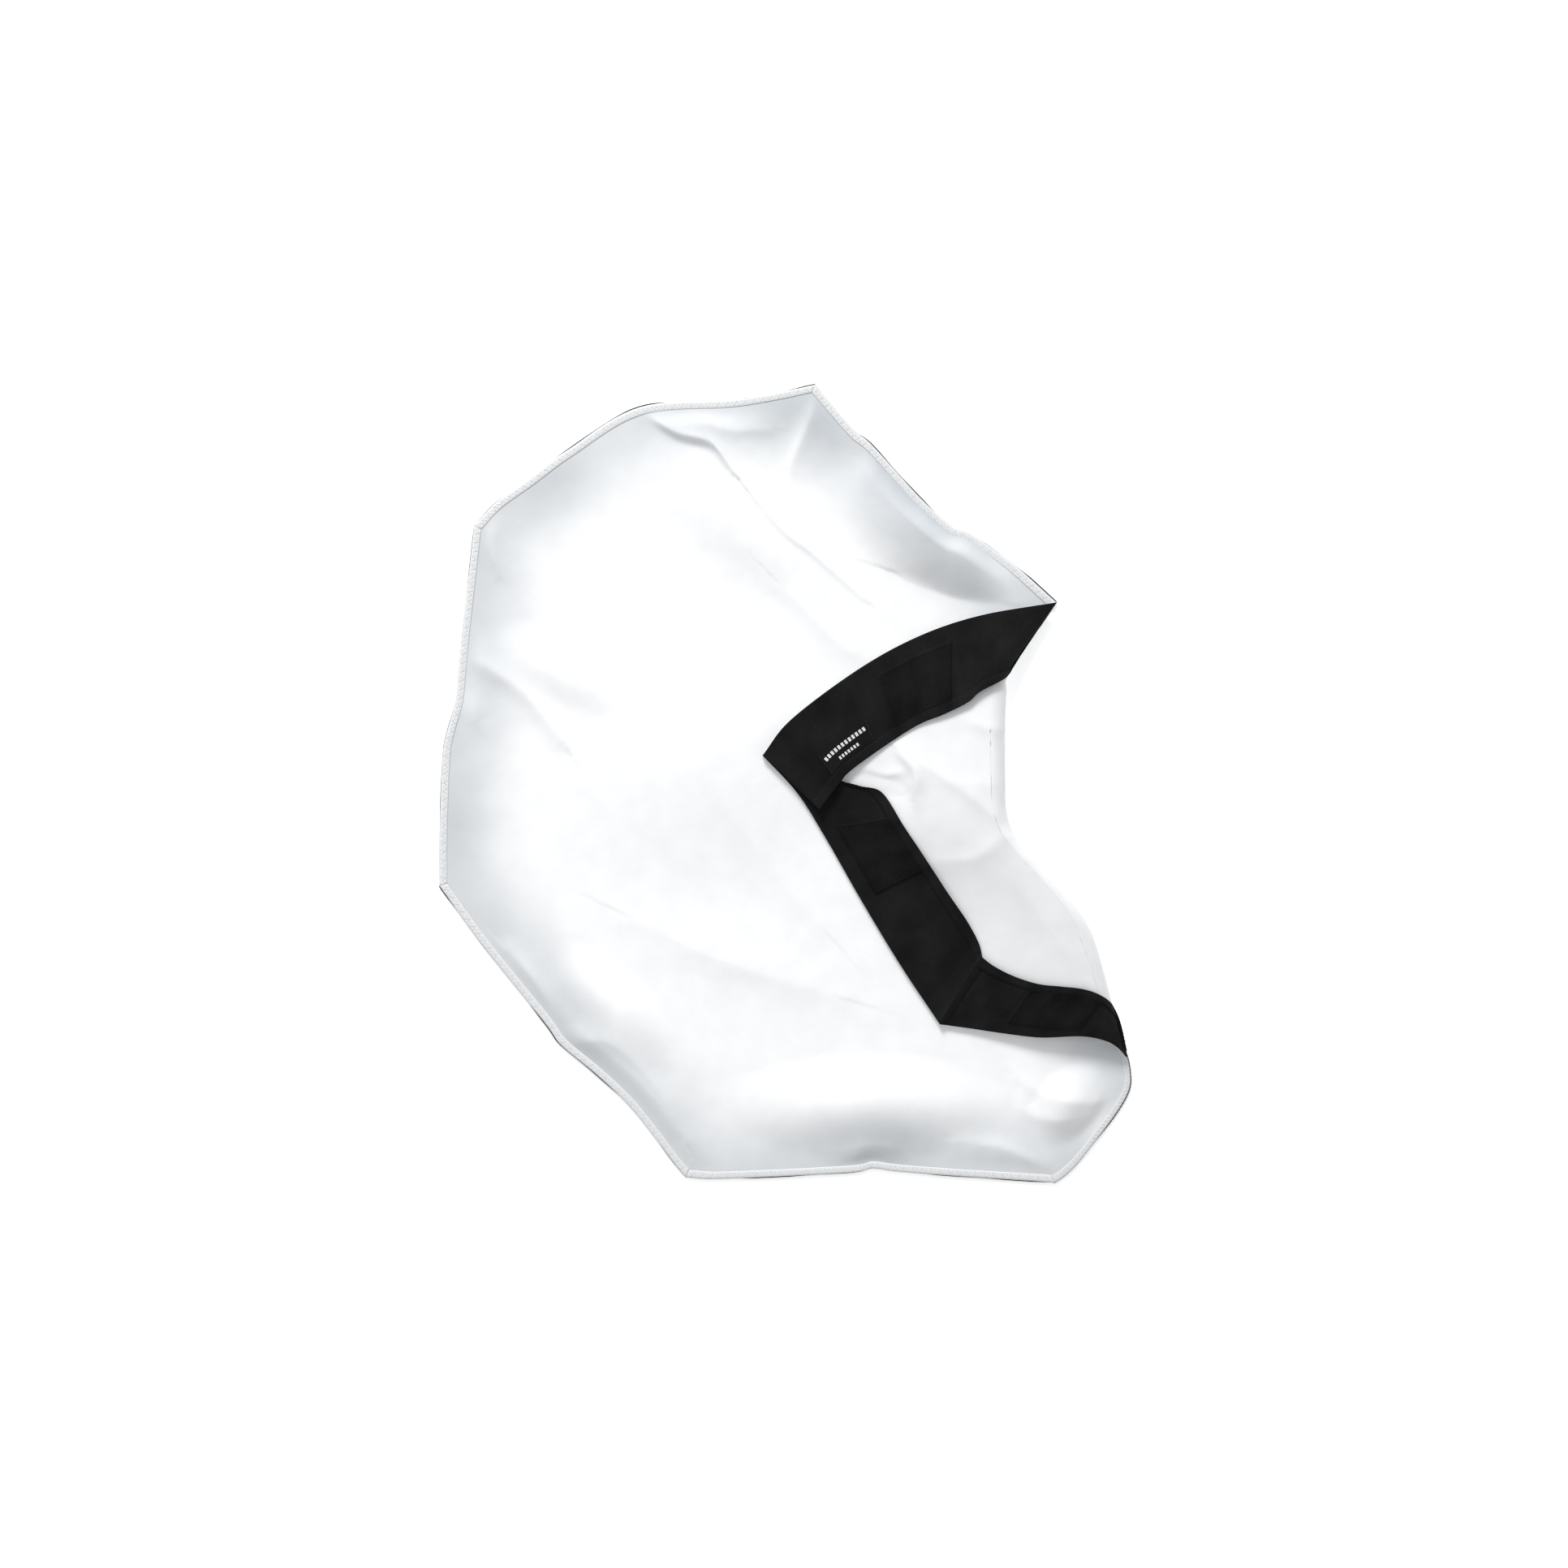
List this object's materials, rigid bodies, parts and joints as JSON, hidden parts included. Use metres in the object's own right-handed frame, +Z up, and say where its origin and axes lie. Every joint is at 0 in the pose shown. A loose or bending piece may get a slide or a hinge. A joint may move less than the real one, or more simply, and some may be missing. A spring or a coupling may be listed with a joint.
{
  "type": "octagonal softbox diffuser cloth",
  "caption": "Limp octagonal white diffuser cloth with a dark hook-and-loop border on its reverse, laid down with one corner turned over.",
  "frame": {"origin": "middle of the bounding box, on the surface that the cloth lies on", "axes": "+Z up from that surface, +Y along the longest extent of the laid cloth, +X towards the fold of the turned corner"},
  "size_m": [0.46, 0.532, 0.0265],
  "materials": {
    "diffusion_cloth": "fine plain-weave white translucent nylon, soft sheen",
    "stitched_hem": "folded white hem with small zigzag stitches",
    "border_cloth": "matt black woven polyester",
    "hook_tape": "black hook-and-loop tape, sewn round its edge",
    "label_tape": "black satin label tape with plain woven bars"
  },
  "bodies": {
    "spread_cloth": {"diffusion_panel": "diffusion_cloth", "border_bottom": "border_cloth", "border_lower_left": "border_cloth", "border_left": "border_cloth", "border_upper_left": "border_cloth", "border_upper_right": "border_cloth", "border_lower_right": "border_cloth", "hem_bottom": "stitched_hem", "hem_lower_left": "stitched_hem", "hem_left": "stitched_hem", "hem_upper_left": "stitched_hem", "hem_upper_right": "stitched_hem", "hem_lower_right": "stitched_hem", "hook_patch_bottom": "hook_tape", "hook_patch_lower_left": "hook_tape", "hook_patch_left": "hook_tape", "hook_patch_upper_left": "hook_tape", "hook_patch_upper_right": "hook_tape"},
    "turned_corner": {"turned_panel": "diffusion_cloth", "turned_border_top": "border_cloth", "turned_border_side": "border_cloth", "turned_border_tail": "border_cloth", "turned_hem_top": "stitched_hem", "turned_hem_side": "stitched_hem", "turned_hem_tail": "stitched_hem", "turned_hook_patch_top": "hook_tape", "turned_hook_patch_side": "hook_tape", "turned_hook_patch_tail": "hook_tape", "woven_label": "label_tape"}
  },
  "joints": [
    {"name": "corner_turn", "type": "hinge", "parent": "spread_cloth", "child": "turned_corner", "pos_m": [0.23, -0.192, 0.0145], "axis": [-0.1547, 0.988, 0], "range_deg": [0, 170]}
  ]
}
